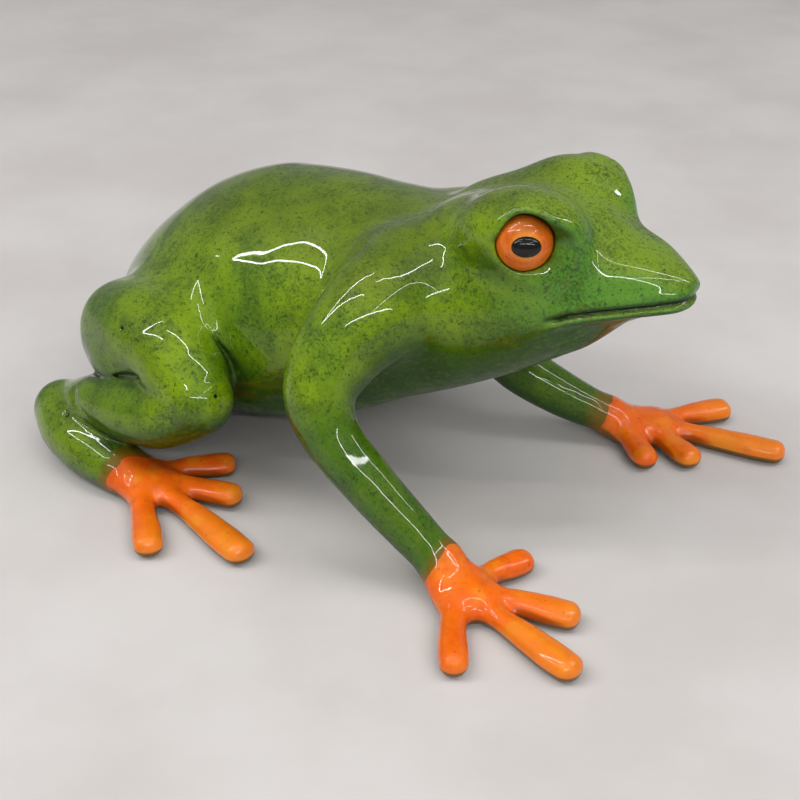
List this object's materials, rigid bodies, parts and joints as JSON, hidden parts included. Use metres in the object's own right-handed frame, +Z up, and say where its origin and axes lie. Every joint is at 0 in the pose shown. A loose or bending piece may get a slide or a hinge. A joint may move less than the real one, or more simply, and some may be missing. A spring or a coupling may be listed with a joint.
{
  "type": "frog figurine",
  "caption": "Free-standing cast tree frog figurine in gloss green with orange feet and eyes, crouching with its head raised on four splayed feet.",
  "frame": {"origin": "middle of the footprint box, on the surface the feet stand on", "axes": "+X the way the frog looks, +Y its left side, +Z up"},
  "size_m": [0.2292, 0.1988, 0.1109],
  "materials": {
    "body_paint": "translucent yellow-green paint with fine dark speckle under clear high-gloss lacquer, on bronze",
    "leg_paint": "translucent green paint with fine dark speckle under clear high-gloss lacquer, on bronze",
    "belly_paint": "thin green to orange-brown paint under clear lacquer, on bronze",
    "foot_paint": "opaque orange paint under clear high-gloss lacquer, on bronze",
    "eye_paint": "opaque orange paint under clear high-gloss lacquer",
    "pupil_black": "gloss black",
    "bronze": "bare bronze, chased flush and hidden under the paint"
  },
  "bodies": {
    "root": {"torso_casting": "body_paint", "foreleg_right": "leg_paint", "foreleg_left": "leg_paint", "hind_leg_right": "leg_paint", "hind_leg_left": "leg_paint", "forefoot_right": "foot_paint", "forefoot_left": "foot_paint", "hind_foot_right": "foot_paint", "hind_foot_left": "foot_paint", "eye_right": "eye_paint", "eye_left": "eye_paint", "pupil_right": "pupil_black", "pupil_left": "pupil_black", "belly_patch": "belly_paint", "core_plug_chest": "bronze", "core_plug_rump": "bronze", "core_plug_flank_right": "bronze", "core_plug_flank_left": "bronze", "shoulder_pin_right": "bronze", "shoulder_pin_left": "bronze", "hip_pin_right": "bronze", "hip_pin_left": "bronze"}
  },
  "joints": []
}
